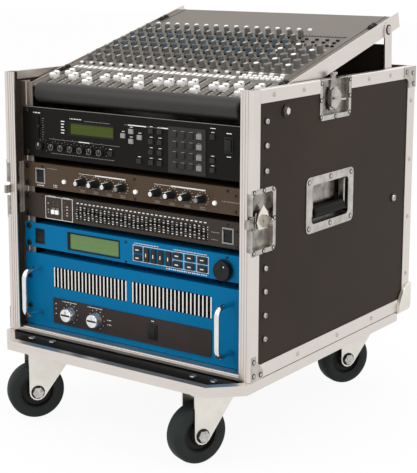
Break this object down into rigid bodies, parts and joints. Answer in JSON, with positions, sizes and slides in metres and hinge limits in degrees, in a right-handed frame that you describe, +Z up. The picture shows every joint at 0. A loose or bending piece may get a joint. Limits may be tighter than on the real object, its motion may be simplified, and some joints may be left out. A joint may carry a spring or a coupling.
{
  "type": "rack case",
  "caption": "Wheeled audio rack case with front-mounted units, a tilting mixer on top, twist latches, drop handles and a caster board.",
  "frame": {"origin": "on the floor under the middle of the object's outline, so the wheels touch z = 0", "axes": "+Z up, +Y from the open front to the rear panel, +X to the right of someone facing the controls"},
  "size_m": [0.554, 0.6208, 0.7096],
  "materials": {
    "laminate": "dark brown phenolic laminate on plywood, low sheen",
    "aluminium": "brushed and anodised extrusion",
    "steel": "nickel-plated pressed steel",
    "zinc": "bright zinc-plated steel",
    "rubber": "dark grey rubber",
    "black_board": "black-faced plywood",
    "black_panel": "black satin paint",
    "brown_grey": "brown-grey anodised panel",
    "blue": "blue satin paint",
    "mixer_grey": "dark grey satin paint",
    "chrome": "polished",
    "black_plastic": "black, lightly textured",
    "padding": "black padded vinyl"
  },
  "bodies": {
    "case": {"side_panel_right": "laminate", "side_panel_left": "laminate", "rear_panel": "laminate", "base_panel": "laminate", "front_edge_right": "aluminium", "front_edge_left": "aluminium", "rear_edge_right": "aluminium", "rear_edge_left": "aluminium", "top_edge_right": "aluminium", "top_edge_left": "aluminium", "bottom_edge_right": "aluminium", "bottom_edge_left": "aluminium", "front_edge_bottom": "aluminium", "rear_edge_top": "aluminium", "rear_edge_bottom": "aluminium", "rack_rail_right": "aluminium", "rack_rail_left": "aluminium", "board_trim": "aluminium", "handle_dish_right": "steel", "handle_dish_left": "steel", "latch_dish_front_right": "steel", "latch_dish_front_left": "steel", "latch_dish_top_right": "steel", "latch_dish_top_left": "steel", "ball_corner_right": "zinc", "ball_corner_left": "zinc", "caster_board": "black_board", "effects_processor": "black_panel", "compressor": "brown_grey", "graphic_equaliser": "brown_grey", "multi_effect_unit": "blue", "power_amplifier": "blue"},
    "swivel_front_left": {"caster_fork_front_left": "zinc"},
    "wheel_front_left": {"caster_wheel_front_left": "rubber"},
    "swivel_front_right": {"caster_fork_front_right": "zinc"},
    "wheel_front_right": {"caster_wheel_front_right": "rubber"},
    "swivel_rear_left": {"caster_fork_rear_left": "zinc"},
    "wheel_rear_left": {"caster_wheel_rear_left": "rubber"},
    "swivel_rear_right": {"caster_fork_rear_right": "zinc"},
    "wheel_rear_right": {"caster_wheel_rear_right": "rubber"},
    "handle_right": {"handle_bar_right": "rubber"},
    "handle_left": {"handle_bar_left": "rubber"},
    "wing_front_right": {"latch_wing_front_right": "steel"},
    "hook_front_right": {"latch_hook_front_right": "steel"},
    "wing_front_left": {"latch_wing_front_left": "steel"},
    "hook_front_left": {"latch_hook_front_left": "steel"},
    "wing_top_right": {"latch_wing_top_right": "steel"},
    "hook_top_right": {"latch_hook_top_right": "steel"},
    "wing_top_left": {"latch_wing_top_left": "steel"},
    "hook_top_left": {"latch_hook_top_left": "steel"},
    "tilt": {"tilt_frame": "aluminium", "mixer_body": "mixer_grey", "mixer_armrest": "padding"},
    "legs": {"leg_panel": "laminate"},
    "data_wheel": {"data_wheel": "black_plastic"},
    "gain_knob_left": {"gain_knob_left": "chrome"},
    "gain_knob_right": {"gain_knob_right": "chrome"},
    "compressor_switch": {"compressor_switch": "black_plastic"},
    "equaliser_switch": {"equaliser_switch": "black_plastic"},
    "multi_effect_switch": {"multi_effect_switch": "black_plastic"}
  },
  "joints": [
    {"name": "swivel_front_left_turn", "type": "hinge", "parent": "case", "child": "swivel_front_left", "pos_m": [-0.175, -0.23658, 0.129], "axis": [0, 0, 1], "continuous": true},
    {"name": "wheel_front_left_roll", "type": "hinge", "parent": "swivel_front_left", "child": "wheel_front_left", "pos_m": [-0.18991, -0.25788, 0.05], "axis": [0.8192, -0.5736, 0], "continuous": true},
    {"name": "swivel_front_right_turn", "type": "hinge", "parent": "case", "child": "swivel_front_right", "pos_m": [0.175, -0.23658, 0.129], "axis": [0, 0, 1], "continuous": true},
    {"name": "wheel_front_right_roll", "type": "hinge", "parent": "swivel_front_right", "child": "wheel_front_right", "pos_m": [0.16526, -0.26069, 0.05], "axis": [0.9272, -0.3746, 0], "continuous": true},
    {"name": "swivel_rear_left_turn", "type": "hinge", "parent": "case", "child": "swivel_rear_left", "pos_m": [-0.175, 0.24842, 0.129], "axis": [0, 0, 1], "continuous": true},
    {"name": "wheel_rear_left_roll", "type": "hinge", "parent": "swivel_rear_left", "child": "wheel_rear_left", "pos_m": [-0.19028, 0.22739, 0.05], "axis": [0.809, -0.5878, 0], "continuous": true},
    {"name": "swivel_rear_right_turn", "type": "hinge", "parent": "case", "child": "swivel_rear_right", "pos_m": [0.175, 0.24842, 0.129], "axis": [0, 0, 1], "continuous": true},
    {"name": "wheel_rear_right_roll", "type": "hinge", "parent": "swivel_rear_right", "child": "wheel_rear_right", "pos_m": [0.16279, 0.22546, 0.05], "axis": [0.8829, -0.4695, 0], "continuous": true},
    {"name": "handle_right_swing", "type": "hinge", "parent": "case", "child": "handle_right", "pos_m": [0.2505, -0.00408, 0.43], "axis": [0, -1, 0], "range_deg": [0, 90]},
    {"name": "handle_left_swing", "type": "hinge", "parent": "case", "child": "handle_left", "pos_m": [-0.2505, -0.00408, 0.43], "axis": [0, 1, 0], "range_deg": [0, 90]},
    {"name": "wing_front_right_turn", "type": "hinge", "parent": "case", "child": "wing_front_right", "pos_m": [0.255, -0.21158, 0.404], "axis": [1, 0, 0], "range_deg": [0, 180]},
    {"name": "hook_front_right_slide", "type": "slide", "parent": "case", "child": "hook_front_right", "axis": [0, -1, 0], "range_m": [-0.006, 0]},
    {"name": "wing_front_left_turn", "type": "hinge", "parent": "case", "child": "wing_front_left", "pos_m": [-0.255, -0.21158, 0.404], "axis": [-1, 0, 0], "range_deg": [0, 180]},
    {"name": "hook_front_left_slide", "type": "slide", "parent": "case", "child": "hook_front_left", "axis": [0, -1, 0], "range_m": [-0.006, 0]},
    {"name": "wing_top_right_turn", "type": "hinge", "parent": "case", "child": "wing_top_right", "pos_m": [0.255, 0.00792, 0.577], "axis": [1, 0, 0], "range_deg": [0, 180]},
    {"name": "hook_top_right_slide", "type": "slide", "parent": "case", "child": "hook_top_right", "axis": [0, 0, 1], "range_m": [-0.006, 0]},
    {"name": "wing_top_left_turn", "type": "hinge", "parent": "case", "child": "wing_top_left", "pos_m": [-0.255, 0.00792, 0.577], "axis": [-1, 0, 0], "range_deg": [0, 180]},
    {"name": "hook_top_left_slide", "type": "slide", "parent": "case", "child": "hook_top_left", "axis": [0, 0, 1], "range_m": [-0.006, 0]},
    {"name": "mixer_tilt", "type": "hinge", "parent": "case", "child": "tilt", "pos_m": [0, -0.15058, 0.571], "axis": [1, 0, 0], "range_deg": [-14.8, 0]},
    {"name": "legs_fold", "type": "hinge", "parent": "tilt", "child": "legs", "pos_m": [0, 0.21665, 0.68044], "axis": [1, 0, 0], "range_deg": [0, 11.65]},
    {"name": "data_wheel_turn", "type": "hinge", "parent": "case", "child": "data_wheel", "pos_m": [0.192, -0.22058, 0.3166], "axis": [0, -1, 0], "continuous": true},
    {"name": "gain_knob_left_turn", "type": "hinge", "parent": "case", "child": "gain_knob_left", "pos_m": [-0.136, -0.22058, 0.1885], "axis": [0, -1, 0], "range_deg": [-150, 150]},
    {"name": "gain_knob_right_turn", "type": "hinge", "parent": "case", "child": "gain_knob_right", "pos_m": [-0.076, -0.22058, 0.1885], "axis": [0, -1, 0], "range_deg": [-150, 150]},
    {"name": "compressor_switch_rock", "type": "hinge", "parent": "case", "child": "compressor_switch", "pos_m": [-0.202, -0.21708, 0.4286], "axis": [1, 0, 0], "range_deg": [-16, 0]},
    {"name": "equaliser_switch_rock", "type": "hinge", "parent": "case", "child": "equaliser_switch", "pos_m": [0.197, -0.21708, 0.3738], "axis": [1, 0, 0], "range_deg": [-16, 0]},
    {"name": "multi_effect_switch_rock", "type": "hinge", "parent": "case", "child": "multi_effect_switch", "pos_m": [-0.206, -0.21708, 0.3196], "axis": [1, 0, 0], "range_deg": [-16, 0]}
  ],
  "couplings": [
    {"joint": "hook_front_right_slide", "follows": "wing_front_right_turn", "m_per_rad": -0.0019},
    {"joint": "hook_front_left_slide", "follows": "wing_front_left_turn", "m_per_rad": -0.0019},
    {"joint": "hook_top_right_slide", "follows": "wing_top_right_turn", "m_per_rad": -0.0019},
    {"joint": "hook_top_left_slide", "follows": "wing_top_left_turn", "m_per_rad": -0.0019},
    {"joint": "legs_fold", "follows": "mixer_tilt", "ratio": -0.784}
  ]
}
